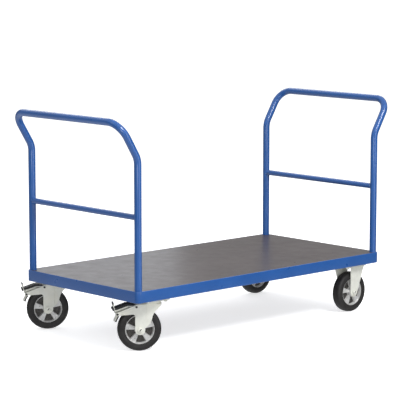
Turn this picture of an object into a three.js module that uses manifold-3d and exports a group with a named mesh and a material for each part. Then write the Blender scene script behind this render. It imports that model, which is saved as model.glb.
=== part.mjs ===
// A platform cart in millimetres, +Z up. A plywood deck lies in a frame of folded steel channels, level with
// its top edge, and a tubular push hoop is plugged into the corner sockets at each end. Two swivel castors
// with brakes stand at the -X end and two fixed castors at the +X end. The origin is the middle of the
// deck's top face.
// Every height below is measured from the floor; the finished cart is lowered as a whole at the end.

import * as THREE from "three";
import { mergeVertices } from "three/addons/utils/BufferGeometryUtils.js";
import Module from "manifold-3d";

const wasm = await Module();
wasm.setup();

// ---------------------------------------------------------------- driving dimensions
const FIT = 0.3; // gap left between pieces that touch
const LENGTH = 1600;
const WIDTH = 800;
const CASTOR_HEIGHT = 235;
const SEAT_THICKNESS = 2.4;
const RAIL_BOTTOM = CASTOR_HEIGHT + 2 * FIT + SEAT_THICKNESS;
const RAIL_HEIGHT = 53;
const RAIL_TOP = RAIL_BOTTOM + RAIL_HEIGHT;
const RAIL = { flange: 30, sheet: 3 };

// The deck lies on a ledge inside the rails, its top face level with theirs.
const DECK_TOP = RAIL_TOP;
const DECK_THICKNESS = 9;
const DECK_BOTTOM = DECK_TOP - DECK_THICKNESS;
const DECK_GAP = 0.5;
const LEDGE_TOP = DECK_BOTTOM - FIT;
const LEDGE_HEIGHT = LEDGE_TOP - RAIL_BOTTOM;

const CROSS = { flange: 40, sheet: 2.5, stations: [-500, 0, 500] };

const SOCKET = { side: 45.6, bore: 17.3, innerCorner: 4 };
const SOCKET_HALF = SOCKET.side / 2;
const POST_X = LENGTH / 2 - SOCKET_HALF;
const POST_Y = WIDTH / 2 - SOCKET_HALF;
const DECK_NOTCH = 21; // radius of the bite round each post

const HOOP = {
  radius: 16.85,
  wall: 2.6,
  kinkHeight: 882,
  topHeight: 1048,
  lean: 103, // how far the crossbar stands out beyond the posts
  kinkBend: 90,
  cornerBend: 78,
};
const MID_BAR = { radius: 13.45, wall: 2.3, height: 621.3 };

const SEAT = { length: 206, width: 122, edge: 14 };
const PLATE = { length: 140, width: 110, thickness: 5, corner: 10 };
const PLATE_SLOT = { x: 52.5, y: 40, halfLength: 5, radius: 5.5 };
const PLATE_BOTTOM = CASTOR_HEIGHT - PLATE.thickness;

const SWIVEL_X = -661;
const SWIVEL_Y = 331;
const SWIVEL_HEADING = THREE.MathUtils.degToRad(-33);
const TRAIL = 54;
const FIXED_X = 655;
const FIXED_Y = 331;

const WHEEL = { radius: 100, halfWidth: 25, rim: 69.5 };
const TREAD = { halfWidth: 11, shoulder: 97, shoulderHalf: 20, wall: 89, footHalf: 22 };
const RIM = { lip: 5.5, faceHalf: 20 };
const HUB = { radius: 22, halfWidth: 27, bore: 12.4, draft: 2 };
const BEARING = { outer: 12, inner: 6.5, halfWidth: 30.4 };
const SPOKES = { count: 5, angle: 36, first: 95, inner: 20, outer: 63.5, halfWidth: 17 };
const WEB_HALF = 6;

const LEG = { inner: 31, sheet: 4, lobe: 23, hole: 6.4 };
const LEG_OUTER = LEG.inner + LEG.sheet;
const CROWN = { radius: 48, sheet: 4, top: 217, back: -20 };
const RACE = { outer: 45, bore: 12, groove: 4, lip: 2 };
const KING_BOLT = { radius: 8, head: 14, headHeight: 9, chamfer: 2 };
const AXLE = { radius: 6, headAcross: 19, headHeight: 7.5, nutHeight: 10, tip: 4 };

// The fork and its brake, in the castor's own side view: x forwards from the wheel's axle, z from the floor.
const PEDAL_PIVOT = { x: -17, z: 205.5, radius: 3 };
const SHOE_PIVOT = { x: -103, z: 174.5, radius: 3 };
const ARM = { endRadius: 7, underside: 172, fillet: 11, crownEnd: -14, crownSlope: 5 };
const CREASE_X = 30; // where the cheeks start to draw together
const PIN = { headRadius: 5, reach: LEG_OUTER + 3 };
const PEDAL = { halfWidth: 27, sheet: 3, slope: 19.4, length: 62, eyeWall: 2.6 };
const TONGUE = { bend: 14, tip: 34, forwards: 5 }; // the lever's upturned end, measured off the strip
const PAD = { x: -56, z: 210.5, length: 58, thickness: 11, halfWidth: 26, ribs: 6, ribDepth: 1.6 };
const SHOE = { inner: 113, outer: 120, from: 146, to: 160.5, halfWidth: 22, eyeWall: 2.4 };

const SIDES = { tube: 12, tubeInside: 8, bore: 18, wheel: 36, rim: 25, round: 18, small: 10 };
const BEND_STEPS = 5;
const MERGE = 1e-4;

// ---------------------------------------------------------------- finishes
const finish = (color, roughness, metalness) => () =>
  new THREE.MeshStandardMaterial({ color, roughness, metalness });
const BLUE_PAINT = finish(0x2c5ea6, 0.4, 0.1);
const ZINC = finish(0xc9c9bd, 0.42, 0.85);
const DARK_STEEL = finish(0x55585c, 0.4, 0.9);
const ALUMINIUM = finish(0xb9bbbd, 0.35, 0.9);
const RUBBER = finish(0x1c1b1c, 0.8, 0);
const PLASTIC = finish(0x17181a, 0.55, 0);
const PLYWOOD = finish(0x6e6469, 0.5, 0);

// ---------------------------------------------------------------- solids
const degrees = THREE.MathUtils.degToRad;
const at = (x, y) => new THREE.Vector2(x, y);

function toSolid(geometry) {
  const bare = new THREE.BufferGeometry();
  bare.setAttribute("position", geometry.getAttribute("position"));
  bare.setIndex(geometry.getIndex());
  const merged = mergeVertices(bare, MERGE);
  const vertProperties = merged.attributes.position.array;
  const triVerts = new Uint32Array(merged.index.array);
  return new wasm.Manifold(new wasm.Mesh({ numProp: 3, vertProperties, triVerts }));
}

function toGeometry(solid) {
  const mesh = solid.getMesh();
  const geometry = new THREE.BufferGeometry();
  geometry.setAttribute("position", new THREE.BufferAttribute(mesh.vertProperties, 3));
  geometry.setIndex(new THREE.BufferAttribute(mesh.triVerts, 1));
  geometry.computeVertexNormals();
  return geometry;
}

const join = (...parts) => parts.map(toSolid).reduce((whole, part) => whole.add(part));

const cut = (whole, ...tools) =>
  tools.map(toSolid).reduce((rest, tool) => rest.subtract(tool), whole);

// Points along an arc, both ends included, angles in degrees.
function arc(x, y, radius, from, to, steps) {
  return Array.from({ length: steps + 1 }, (_, i) => {
    const angle = degrees(from + ((to - from) * i) / steps);
    return at(x + radius * Math.cos(angle), y + radius * Math.sin(angle));
  });
}

const circle = (x, y, radius, sides) => arc(x, y, radius, 0, 360, sides).slice(0, -1);

// An outline drawn in plan (x, y) and raised from one height to another.
function raised(outline, low, high, holes = []) {
  const shape = new THREE.Shape(outline);
  shape.holes = holes.map((hole) => new THREE.Path(hole));
  const geometry = new THREE.ExtrudeGeometry(shape, { depth: high - low, bevelEnabled: false });
  return geometry.translate(0, 0, low);
}

// An outline drawn in side view (x, z) and drawn out sideways between two values of y.
function sideways(outline, low, high, holes = []) {
  return raised(outline, -high, -low, holes).rotateX(Math.PI / 2);
}

// A profile of (radius, height) points turned round the Z axis, and the same round the Y axis.
const turned = (profile, sides) =>
  new THREE.LatheGeometry([...profile, profile[0]], sides).rotateX(Math.PI / 2);
const turnedOnY = (profile, sides) => new THREE.LatheGeometry([...profile, profile[0]], sides);

const rod = (radius, low, high, sides) => raised(circle(0, 0, radius, sides), low, high);
const rodOnY = (x, z, radius, low, high, sides) =>
  sideways(circle(x, z, radius, sides), low, high);

const cart = new THREE.Group();

function place(name, geometry, makeFinish, parent = cart) {
  const mesh = new THREE.Mesh(geometry, makeFinish());
  mesh.name = name;
  parent.add(mesh);
  return mesh;
}

// ---------------------------------------------------------------- frame
// A folded channel with its web at u = 0 and its flanges towards +u. The web may stand up past the upper
// flange, which is then a ledge.
function channel(ledge, top, flange, sheet, length) {
  const outline = [
    at(0, 0),
    at(flange, 0),
    at(flange, sheet),
    at(sheet, sheet),
    at(sheet, ledge - sheet),
    at(flange, ledge - sheet),
    at(flange, ledge),
  ];
  if (top > ledge) outline.push(at(sheet, ledge), at(sheet, top));
  outline.push(at(0, top));
  return raised(outline, -length / 2, length / 2);
}

// Turns a channel so that its flanges point along `inward` and its web stands upright.
function standing(mesh, inward) {
  const up = new THREE.Vector3(0, 0, 1);
  const along = new THREE.Vector3().crossVectors(inward, up);
  mesh.quaternion.setFromRotationMatrix(new THREE.Matrix4().makeBasis(inward, up, along));
  return mesh;
}

function rail(name, inward, distance, length) {
  const geometry = channel(LEDGE_HEIGHT, RAIL_HEIGHT, RAIL.flange, RAIL.sheet, length);
  const mesh = standing(place(name, geometry, BLUE_PAINT), inward);
  mesh.position.copy(inward).multiplyScalar(-distance).setZ(RAIL_BOTTOM);
}

const SIDE_RAIL_LENGTH = LENGTH - 2 * (SOCKET.side + FIT);
const END_RAIL_LENGTH = WIDTH - 2 * (SOCKET.side + FIT);
rail("rail_left", new THREE.Vector3(0, -1, 0), WIDTH / 2, SIDE_RAIL_LENGTH);
rail("rail_right", new THREE.Vector3(0, 1, 0), WIDTH / 2, SIDE_RAIL_LENGTH);
rail("rail_fixed_end", new THREE.Vector3(-1, 0, 0), LENGTH / 2, END_RAIL_LENGTH);
rail("rail_swivel_end", new THREE.Vector3(1, 0, 0), LENGTH / 2, END_RAIL_LENGTH);

const CROSS_LENGTH = WIDTH - 2 * (RAIL.flange + FIT);
CROSS.stations.forEach((x, i) => {
  const geometry = channel(LEDGE_HEIGHT, LEDGE_HEIGHT, CROSS.flange, CROSS.sheet, CROSS_LENGTH);
  const mesh = place(`cross_member_${i + 1}`, geometry, BLUE_PAINT);
  standing(mesh, new THREE.Vector3(1, 0, 0));
  mesh.position.set(x - CROSS.flange / 2, 0, RAIL_BOTTOM);
});

// The four corners, each with the signs of its x and y.
const CORNERS = [
  { name: "swivel_right", x: -1, y: -1 },
  { name: "swivel_left", x: -1, y: 1 },
  { name: "fixed_right", x: 1, y: -1 },
  { name: "fixed_left", x: 1, y: 1 },
];

// A bored block under the deck, round at the cart's outer corner, and the rail's web carried round it up to
// the deck's level. Both are drawn for the +X +Y corner, about the post's axis.
function socketSolid() {
  const h = SOCKET_HALF;
  const r = SOCKET.innerCorner;
  const inside = h - RAIL.sheet;
  const block = [
    ...arc(0, 0, h, 0, 90, 8),
    at(-h, h),
    ...arc(r - h, r - h, r, 180, 270, 3),
    at(h, -h),
  ];
  const web = [
    at(h, -h),
    ...arc(0, 0, h, 0, 90, 8),
    at(-h, h),
    at(-h, inside),
    ...arc(0, 0, inside, 90, 0, 6),
    at(inside, -h),
  ];
  const bore = raised(circle(0, 0, SOCKET.bore, SIDES.bore), RAIL_BOTTOM - 1, RAIL_TOP + 1);
  return cut(join(raised(block, RAIL_BOTTOM, LEDGE_TOP), raised(web, RAIL_BOTTOM, RAIL_TOP)), bore);
}

// Mirroring would turn the faces inside out, so the outline is turned by quarter turns instead.
const quarterTurns = (corner) => Math.atan2(corner.y, corner.x) - Math.PI / 4;

for (const corner of CORNERS) {
  const socket = place(`corner_socket_${corner.name}`, toGeometry(socketSolid()), BLUE_PAINT);
  socket.position.set(corner.x * POST_X, corner.y * POST_Y, 0);
  socket.rotation.z = quarterTurns(corner);

  const seatX = corner.x * (LENGTH / 2 - SEAT.edge - SEAT.length / 2);
  const seatY = corner.y * (WIDTH / 2 - SEAT.edge - SEAT.width / 2);
  const seat = new THREE.BoxGeometry(SEAT.length, SEAT.width, SEAT_THICKNESS);
  place(`castor_seat_${corner.name}`, seat, BLUE_PAINT).position.set(
    seatX,
    seatY,
    RAIL_BOTTOM - FIT - SEAT_THICKNESS / 2,
  );
}

// ---------------------------------------------------------------- deck
// A plain sheet bitten out round the four posts, its outline running anticlockwise from the -X -Y corner.
function deckOutline() {
  const inset = RAIL.sheet + DECK_GAP;
  const edge = THREE.MathUtils.radToDeg(Math.asin((SOCKET_HALF - inset) / DECK_NOTCH));
  return [0, 90, 180, 270].flatMap((turn) => {
    const corner = degrees(turn + 225);
    const x = Math.sign(Math.cos(corner)) * POST_X;
    const y = Math.sign(Math.sin(corner)) * POST_Y;
    return arc(x, y, DECK_NOTCH, turn + 90 + edge, turn - edge, 10);
  });
}

place("deck_board", raised(deckOutline(), DECK_BOTTOM, DECK_TOP), PLYWOOD);

// ---------------------------------------------------------------- push hoops
// The centre line of a bent tube: straight runs between corner points, with a round bend at each inner
// corner. It has a station only at the two ends and round the bends.
class BentLine extends THREE.Curve {
  constructor(corners, bends) {
    super();
    this.stations = [];
    const towards = (from, to) => to.clone().sub(from).normalize();
    const last = corners.length - 1;
    this.stations.push({ point: corners[0], tangent: towards(corners[0], corners[1]) });
    for (let i = 1; i < last; i++) {
      const before = towards(corners[i - 1], corners[i]);
      const after = towards(corners[i], corners[i + 1]);
      this.addBend(corners[i], before, after, bends[i - 1]);
    }
    this.stations.push({ point: corners[last], tangent: towards(corners[last - 1], corners[last]) });
  }

  addBend(corner, before, after, radius) {
    const turn = before.angleTo(after);
    const axis = new THREE.Vector3().crossVectors(before, after).normalize();
    const start = corner.clone().addScaledVector(before, -radius * Math.tan(turn / 2));
    const inwards = new THREE.Vector3().crossVectors(axis, before);
    const centre = start.clone().addScaledVector(inwards, radius);
    for (let i = 0; i <= BEND_STEPS; i++) {
      const angle = (turn * i) / BEND_STEPS;
      const point = start.clone().sub(centre).applyAxisAngle(axis, angle).add(centre);
      const tangent = before.clone().applyAxisAngle(axis, angle);
      this.stations.push({ point, tangent });
    }
  }

  get steps() {
    return this.stations.length - 1;
  }

  station(u) {
    return this.stations[Math.round(u * this.steps)];
  }

  getPointAt(u) {
    return this.station(u).point.clone();
  }

  getTangentAt(u) {
    return this.station(u).tangent.clone();
  }
}

function tubeAlong(line, radius, wall) {
  const shape = new THREE.Shape(circle(0, 0, radius, SIDES.tube));
  shape.holes = [new THREE.Path(circle(0, 0, radius - wall, SIDES.tubeInside))];
  return new THREE.ExtrudeGeometry(shape, { extrudePath: line, steps: line.steps });
}

const HOOP_FOOT = RAIL_BOTTOM + FIT;
const HOOPS = [
  { name: "swivel_end", x: -1 },
  { name: "fixed_end", x: 1 },
];

for (const { name, x } of HOOPS) {
  const post = x * POST_X;
  const bar = x * (POST_X + HOOP.lean);
  const line = new BentLine(
    [
      new THREE.Vector3(post, -POST_Y, HOOP_FOOT),
      new THREE.Vector3(post, -POST_Y, HOOP.kinkHeight),
      new THREE.Vector3(bar, -POST_Y, HOOP.topHeight),
      new THREE.Vector3(bar, POST_Y, HOOP.topHeight),
      new THREE.Vector3(post, POST_Y, HOOP.kinkHeight),
      new THREE.Vector3(post, POST_Y, HOOP_FOOT),
    ],
    [HOOP.kinkBend, HOOP.cornerBend, HOOP.cornerBend, HOOP.kinkBend],
  );
  place(`hoop_${name}`, tubeAlong(line, HOOP.radius, HOOP.wall), BLUE_PAINT);

  // The mid bar is coped at both ends to fit round the posts.
  const ends = [-POST_Y, POST_Y].map((y) => new THREE.Vector3(post, y, MID_BAR.height));
  const barLine = new BentLine(ends, []);
  const cope = rod(HOOP.radius + FIT, HOOP_FOOT, HOOP.kinkHeight, SIDES.bore);
  const copes = [-POST_Y, POST_Y].map((y) => cope.clone().translate(post, y, 0));
  const midBar = cut(toSolid(tubeAlong(barLine, MID_BAR.radius, MID_BAR.wall)), ...copes);
  place(`mid_bar_${name}`, toGeometry(midBar), BLUE_PAINT);
}

// ---------------------------------------------------------------- wheels
// Each wheel stands in its castor's own frame with its axle along Y, at the group's origin.
function tyreProfile() {
  const seat = (WHEEL.rim + FIT) / Math.cos(Math.PI / SIDES.wheel);
  return [
    at(seat, -TREAD.footHalf),
    at(TREAD.wall, -WHEEL.halfWidth),
    at(TREAD.shoulder, -TREAD.shoulderHalf),
    at(WHEEL.radius, -TREAD.halfWidth),
    at(WHEEL.radius, TREAD.halfWidth),
    at(TREAD.shoulder, TREAD.shoulderHalf),
    at(TREAD.wall, WHEEL.halfWidth),
    at(seat, TREAD.footHalf),
  ];
}

function rimSolid() {
  const { radius, halfWidth, bore, draft } = HUB;
  const lip = WHEEL.rim - RIM.lip;
  const half = [
    at(bore, halfWidth),
    at(radius, halfWidth),
    at(radius + draft, WEB_HALF),
    at(lip - draft, WEB_HALF),
    at(lip, RIM.faceHalf),
    at(WHEEL.rim, RIM.faceHalf + 1),
  ];
  const otherHalf = half.map((point) => at(point.x, -point.y));
  const body = turnedOnY([...otherHalf, ...half.reverse()], SIDES.rim);
  const { count, angle, first, inner, outer } = SPOKES;
  const spokes = Array.from({ length: count }, (_, i) => {
    const from = first - angle / 2 + (i * 360) / count;
    const to = from + angle;
    const outline = [...arc(0, 0, inner, to, from, 2), ...arc(0, 0, outer, from, to, 3)];
    return sideways(outline, -SPOKES.halfWidth, SPOKES.halfWidth);
  });
  return join(body, ...spokes);
}

function wheel(name, parent) {
  place(`tyre_${name}`, turnedOnY(tyreProfile(), SIDES.wheel), RUBBER, parent);
  place(`rim_${name}`, toGeometry(rimSolid()), ALUMINIUM, parent);
  const { outer, inner, halfWidth } = BEARING;
  const ring = [
    at(inner, -halfWidth),
    at(outer, -halfWidth),
    at(outer, halfWidth),
    at(inner, halfWidth),
  ];
  place(`hub_bearing_${name}`, turnedOnY(ring, SIDES.round), DARK_STEEL, parent);
}

const hexagon = (across, x, z) => circle(x, z, across / Math.sqrt(3), 6);

// The axle bolt runs from a head on the -Y side to a nut on the +Y side.
function axle(name, parent) {
  const face = LEG_OUTER + FIT;
  const nutEnd = face + AXLE.nutHeight;
  const head = sideways(hexagon(AXLE.headAcross, 0, 0), -face - AXLE.headHeight, -face);
  const shank = rodOnY(0, 0, AXLE.radius, -face - 1, nutEnd + AXLE.tip, SIDES.small);
  place(`axle_bolt_${name}`, toGeometry(join(head, shank)), ZINC, parent);
  const bore = circle(0, 0, AXLE.radius + FIT, SIDES.small);
  const nut = sideways(hexagon(AXLE.headAcross, 0, 0), face, nutEnd, [bore]);
  place(`axle_nut_${name}`, nut, ZINC, parent);
}

// ---------------------------------------------------------------- castor plates
function plateOutline(length, width, corner) {
  const x = length / 2 - corner;
  const y = width / 2 - corner;
  return [
    ...arc(x, y, corner, 0, 90, 3),
    ...arc(-x, y, corner, 90, 180, 3),
    ...arc(-x, -y, corner, 180, 270, 3),
    ...arc(x, -y, corner, 270, 360, 3),
  ];
}

// Four slots for the mounting bolts.
function plateSlots() {
  const { x, y, halfLength, radius } = PLATE_SLOT;
  const slot = (cx, cy) => [
    ...arc(cx + halfLength, cy, radius, -90, 90, 4),
    ...arc(cx - halfLength, cy, radius, 90, 270, 4),
  ];
  return [slot(x, y), slot(-x, y), slot(-x, -y), slot(x, -y)];
}

const plateBlank = plateOutline(PLATE.length, PLATE.width, PLATE.corner);

// ---------------------------------------------------------------- swivel castors
// Side view of a swivel fork: a leg with a round lobe at the axle, slanting forwards to the crown, and an
// arm reaching back over the tyre to carry the brake.
function forkSide() {
  const front = TRAIL + CROWN.radius + 1;
  return [
    ...arc(0, WHEEL.radius, LEG.lobe, 180, 380, 9),
    at(51, 138),
    at(57, 162),
    at(71, 184),
    at(front, CROWN.top - 1),
    at(front, CROWN.top),
    at(ARM.crownEnd, CROWN.top),
    at(ARM.crownEnd - 2 * ARM.crownSlope, CROWN.top - ARM.crownSlope),
    ...arc(SHOE_PIVOT.x, SHOE_PIVOT.z, ARM.endRadius, 110, 300, 6),
    at(-LEG.lobe - ARM.fillet, ARM.underside),
    ...arc(-LEG.lobe - ARM.fillet, ARM.underside - ARM.fillet, ARM.fillet, 90, 0, 4),
  ];
}

// Plan of the fork's wall: two cheeks beside the wheel, drawn together in front of it round the crown.
function forkPlan() {
  const back = SHOE_PIVOT.x - ARM.endRadius - 5;
  const face = (cheek, radius, steps) => {
    const close = THREE.MathUtils.radToDeg(Math.asin((cheek - 5.5) / radius));
    const nose = arc(TRAIL, 0, radius, -close, close, steps);
    return [at(back, -cheek), at(CREASE_X, -cheek), ...nose, at(CREASE_X, cheek), at(back, cheek)];
  };
  const outside = face(LEG_OUTER, CROWN.radius, 8);
  const inside = face(LEG.inner, CROWN.radius - LEG.sheet, 6);
  return [...outside, ...inside.reverse()];
}

// Plan of the crown, a plate that closes the fork above the wheel.
function crownPlan() {
  const outer = LEG_OUTER - 1;
  const radius = CROWN.radius - 1;
  const close = THREE.MathUtils.radToDeg(Math.asin(outer / radius));
  const nose = arc(TRAIL, 0, radius, -close, close, 10);
  return [at(CROWN.back, -outer), ...nose, at(CROWN.back, outer)];
}

function forkSolid() {
  const reach = LEG_OUTER + 1;
  const low = WHEEL.radius - LEG.lobe - 1;
  const side = toSolid(sideways(forkSide(), -reach, reach));
  const wall = toSolid(raised(forkPlan(), low, CROWN.top)).intersect(side);
  const crown = toSolid(raised(crownPlan(), CROWN.top - CROWN.sheet, CROWN.top));
  const hole = (x, z, radius) => rodOnY(x, z, radius, -reach, reach, SIDES.small);
  const boltHole = rod(KING_BOLT.radius + FIT, CROWN.top - 2 * CROWN.sheet, CROWN.top + 1, SIDES.round);
  return cut(
    wall.add(crown),
    hole(0, WHEEL.radius, LEG.hole),
    hole(PEDAL_PIVOT.x, PEDAL_PIVOT.z, PEDAL_PIVOT.radius + FIT),
    hole(SHOE_PIVOT.x, SHOE_PIVOT.z, SHOE_PIVOT.radius + FIT),
    boltHole.translate(TRAIL, 0, 0),
  );
}

// A strip of sheet that starts at the pedal's pivot, runs back under the pad and turns up at its end.
function pedalLeverSolid() {
  const { x, z, radius } = PEDAL_PIVOT;
  const { halfWidth, sheet, length } = PEDAL;
  const slope = degrees(PEDAL.slope);
  const run = (back, lift) =>
    at(
      PAD.x - back * Math.cos(slope) - lift * Math.sin(slope),
      PAD.z - back * Math.sin(slope) + lift * Math.cos(slope),
    );
  const strip = [
    at(x - 1, z + 4.8),
    at(x - 4, z - 2),
    run(0, -sheet),
    run(length, -sheet),
    run(length, TONGUE.bend),
    run(length - TONGUE.forwards, TONGUE.tip),
    run(length - TONGUE.forwards - sheet, TONGUE.tip - 1),
    run(length - sheet, TONGUE.bend - 1),
    run(length - sheet, 0),
    run(0, 0),
  ];
  const body = sideways(strip, -halfWidth, halfWidth);
  const barrel = rodOnY(x, z, radius + PEDAL.eyeWall, -halfWidth, halfWidth, SIDES.small);
  const bore = rodOnY(x, z, radius + FIT, -PIN.reach, PIN.reach, SIDES.small);
  return cut(join(body, barrel), bore);
}

// A ribbed tread that lies on the lever, its front lower edge at the origin.
function padOutline() {
  const { length, thickness, ribs, ribDepth } = PAD;
  const pitch = length / ribs;
  const valley = thickness - ribDepth;
  const top = [];
  for (let i = 0; i < ribs; i++) {
    const start = -length + i * pitch;
    top.push(at(start + 1, thickness), at(start + 0.6 * pitch, thickness));
    if (i < ribs - 1) top.push(at(start + 0.7 * pitch, valley), at(start + 0.9 * pitch, valley));
  }
  return [at(-length, FIT), at(0, FIT), at(-1, thickness - 3), ...top.reverse()];
}

// A curved plate behind the tyre, hung from its pin between the fork's arms.
function shoeSolid() {
  const { inner, outer, from, to, halfWidth } = SHOE;
  const { x, z, radius } = SHOE_PIVOT;
  const curve = [
    ...arc(0, WHEEL.radius, outer, from, to, 4),
    ...arc(0, WHEEL.radius, inner, to, from, 4),
  ];
  const strap = [at(x - 4, z - 2), at(x - 2, z - 12), at(x + 6, z - 9), at(x + 4, z + 1)];
  const plate = sideways(curve, -halfWidth, halfWidth);
  const hanger = sideways(strap, -halfWidth, halfWidth);
  const eye = rodOnY(x, z, radius + SHOE.eyeWall, -halfWidth, halfWidth, SIDES.small);
  const bore = rodOnY(x, z, radius + FIT, -PIN.reach, PIN.reach, SIDES.small);
  return cut(join(plate, hanger, eye), bore);
}

// A headed pin through both cheeks of the fork.
function pin({ x, z, radius }) {
  const head = rodOnY(x, z, PIN.headRadius, -PIN.reach, -LEG_OUTER - FIT, SIDES.small);
  const shank = rodOnY(x, z, radius, -PIN.reach, PIN.reach, SIDES.small);
  return toGeometry(join(head, shank));
}

function swivelCastor(name, x, y) {
  const castor = new THREE.Group();
  castor.position.set(x, y, 0);
  cart.add(castor);

  const plate = raised(plateBlank, PLATE_BOTTOM, CASTOR_HEIGHT, [
    ...plateSlots(),
    circle(0, 0, KING_BOLT.radius + FIT, SIDES.round),
  ]);
  place(`top_plate_${name}`, plate, ZINC, castor);

  const low = CROWN.top + FIT;
  const high = PLATE_BOTTOM - FIT;
  const middle = (low + high) / 2;
  const race = [
    at(RACE.bore, low),
    at(RACE.outer - RACE.groove, low),
    at(RACE.outer, middle),
    at(RACE.outer, high - RACE.lip),
    at(RACE.outer - RACE.lip, high),
    at(RACE.bore, high),
  ];
  place(`ball_race_${name}`, turned(race, SIDES.round), ZINC, castor);

  const { radius, head, headHeight, chamfer } = KING_BOLT;
  const seat = CROWN.top - CROWN.sheet - FIT;
  const bolt = [
    at(0, seat - headHeight),
    at(head - chamfer, seat - headHeight),
    at(head, seat - headHeight + chamfer),
    at(head, seat),
    at(radius, seat),
    at(radius, CASTOR_HEIGHT),
    at(0, CASTOR_HEIGHT),
  ];
  const kingBolt = new THREE.LatheGeometry(bolt, SIDES.round).rotateX(Math.PI / 2);
  place(`king_bolt_${name}`, kingBolt, ZINC, castor);

  // Everything below the ball race turns together. The side view's origin is under the axle, behind the
  // swivel axis.
  const turning = new THREE.Group();
  turning.rotation.z = SWIVEL_HEADING;
  castor.add(turning);
  const side = new THREE.Group();
  side.position.x = -TRAIL;
  turning.add(side);

  place(`fork_${name}`, toGeometry(forkSolid()), ZINC, side);
  place(`pedal_pin_${name}`, pin(PEDAL_PIVOT), DARK_STEEL, side);
  place(`shoe_pin_${name}`, pin(SHOE_PIVOT), DARK_STEEL, side);
  place(`pedal_lever_${name}`, toGeometry(pedalLeverSolid()), ZINC, side);
  const pad = sideways(padOutline(), -PAD.halfWidth, PAD.halfWidth);
  pad.rotateY(-degrees(PEDAL.slope)).translate(PAD.x, 0, PAD.z);
  place(`pedal_pad_${name}`, pad, PLASTIC, side);
  place(`brake_shoe_${name}`, toGeometry(shoeSolid()), ZINC, side);

  const hub = new THREE.Group();
  hub.position.z = WHEEL.radius;
  side.add(hub);
  wheel(name, hub);
  axle(name, hub);
}

// ---------------------------------------------------------------- fixed castors
// One leg of the fixed bracket in side view, upright on one edge and slanting on the other.
function bracketLeg(flip) {
  const outline = [
    ...arc(0, WHEEL.radius, LEG.lobe, 180, 350, 9),
    at(46, 158),
    at(68, PLATE_BOTTOM - 12),
    at(69, PLATE_BOTTOM + 1),
    at(-LEG.lobe, PLATE_BOTTOM + 1),
  ];
  return outline.map((point) => at(flip * point.x, point.y));
}

function fixedCastor(name, x, y) {
  const castor = new THREE.Group();
  castor.position.set(x, y, 0);
  cart.add(castor);

  const plate = raised(plateBlank, PLATE_BOTTOM, CASTOR_HEIGHT, plateSlots());
  const near = sideways(bracketLeg(1), -LEG_OUTER, -LEG.inner);
  const far = sideways(bracketLeg(-1), LEG.inner, LEG_OUTER);
  const hole = rodOnY(0, WHEEL.radius, LEG.hole, -LEG_OUTER - 1, LEG_OUTER + 1, SIDES.small);
  place(`bracket_${name}`, toGeometry(cut(join(plate, near, far), hole)), ZINC, castor);

  const hub = new THREE.Group();
  hub.position.z = WHEEL.radius;
  castor.add(hub);
  wheel(name, hub);
  axle(name, hub);
}

swivelCastor("swivel_right", SWIVEL_X, -SWIVEL_Y);
swivelCastor("swivel_left", SWIVEL_X, SWIVEL_Y);
fixedCastor("fixed_right", FIXED_X, -FIXED_Y);
fixedCastor("fixed_left", FIXED_X, FIXED_Y);

cart.position.z = -DECK_TOP;

export default cart;
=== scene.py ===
"""Looks for a platform cart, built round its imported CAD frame. Metres, +Z up, origin in the deck's top."""

import math

import bmesh
import bpy
from mathutils import Matrix, Vector


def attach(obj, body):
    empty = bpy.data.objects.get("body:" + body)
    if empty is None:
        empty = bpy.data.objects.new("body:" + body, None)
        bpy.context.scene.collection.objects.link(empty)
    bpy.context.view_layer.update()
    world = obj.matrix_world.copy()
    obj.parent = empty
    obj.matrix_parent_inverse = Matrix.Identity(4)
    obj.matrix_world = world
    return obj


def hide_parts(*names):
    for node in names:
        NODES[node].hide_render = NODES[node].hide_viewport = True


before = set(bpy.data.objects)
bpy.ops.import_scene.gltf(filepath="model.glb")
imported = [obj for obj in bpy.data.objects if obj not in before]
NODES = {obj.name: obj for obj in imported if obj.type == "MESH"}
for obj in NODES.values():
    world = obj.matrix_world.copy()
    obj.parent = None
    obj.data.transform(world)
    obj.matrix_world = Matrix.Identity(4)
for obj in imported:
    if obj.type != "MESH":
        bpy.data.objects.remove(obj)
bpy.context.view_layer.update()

MM = 0.001
TAU = 2 * math.pi

# ------------------------------------------------------------------ sizes, in millimetres
DECK_HEIGHT = 291.0
LENGTH, WIDTH = 1600.0, 800.0
RAIL_BOTTOM = 238.0
RAIL_SHEET, RAIL_FLANGE, RAIL_EDGE = 3.0, 30.0, 2.6
DECK_THICKNESS, DECK_GAP = 9.0, 0.5
LEDGE_TOP = DECK_HEIGHT - DECK_THICKNESS - 0.3
CORNER_RADIUS = 22.8
POST_X, POST_Y = LENGTH / 2 - CORNER_RADIUS, WIDTH / 2 - CORNER_RADIUS
POST_RADIUS, POST_WALL = 16.85, 2.6
SLEEVE_RADIUS, DECK_NOTCH = 20.4, 21.0
KINK_HEIGHT, TOP_HEIGHT, LEAN = 882.0, 1048.0, 103.0
KINK_BEND, CORNER_BEND = 90.0, 78.0
BAR_RADIUS, BAR_WALL, BAR_HEIGHT = 13.45, 2.3, 621.3
SWIVEL_X, SWIVEL_Y, HEADING, TRAIL = -661.0, 331.0, math.radians(-33), 54.0
FIXED_X, FIXED_Y = 655.0, 331.0
WHEEL_RADIUS, RIM_RADIUS = 100.0, 69.5
LEG_INNER, LEG_SHEET = 31.0, 4.0
LEG_OUTER = LEG_INNER + LEG_SHEET
AXLE_FACE, AXLE_RADIUS, NUT_ACROSS = LEG_OUTER + 0.3, 5.9, 19.0
LOBE = 23.0
CROWN_RADIUS, CROWN_TOP, CROWN_SHEET = 48.0, 217.0, 4.0
PLATE_TOP, PLATE_BOTTOM = 235.0, 230.0
PLATE_SLOTS = [(52.5, 40.0), (-52.5, 40.0), (-52.5, -40.0), (52.5, -40.0)]
PEDAL_PIVOT, SHOE_PIVOT = (-17.0, 205.5), (-103.0, 174.5)
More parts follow.
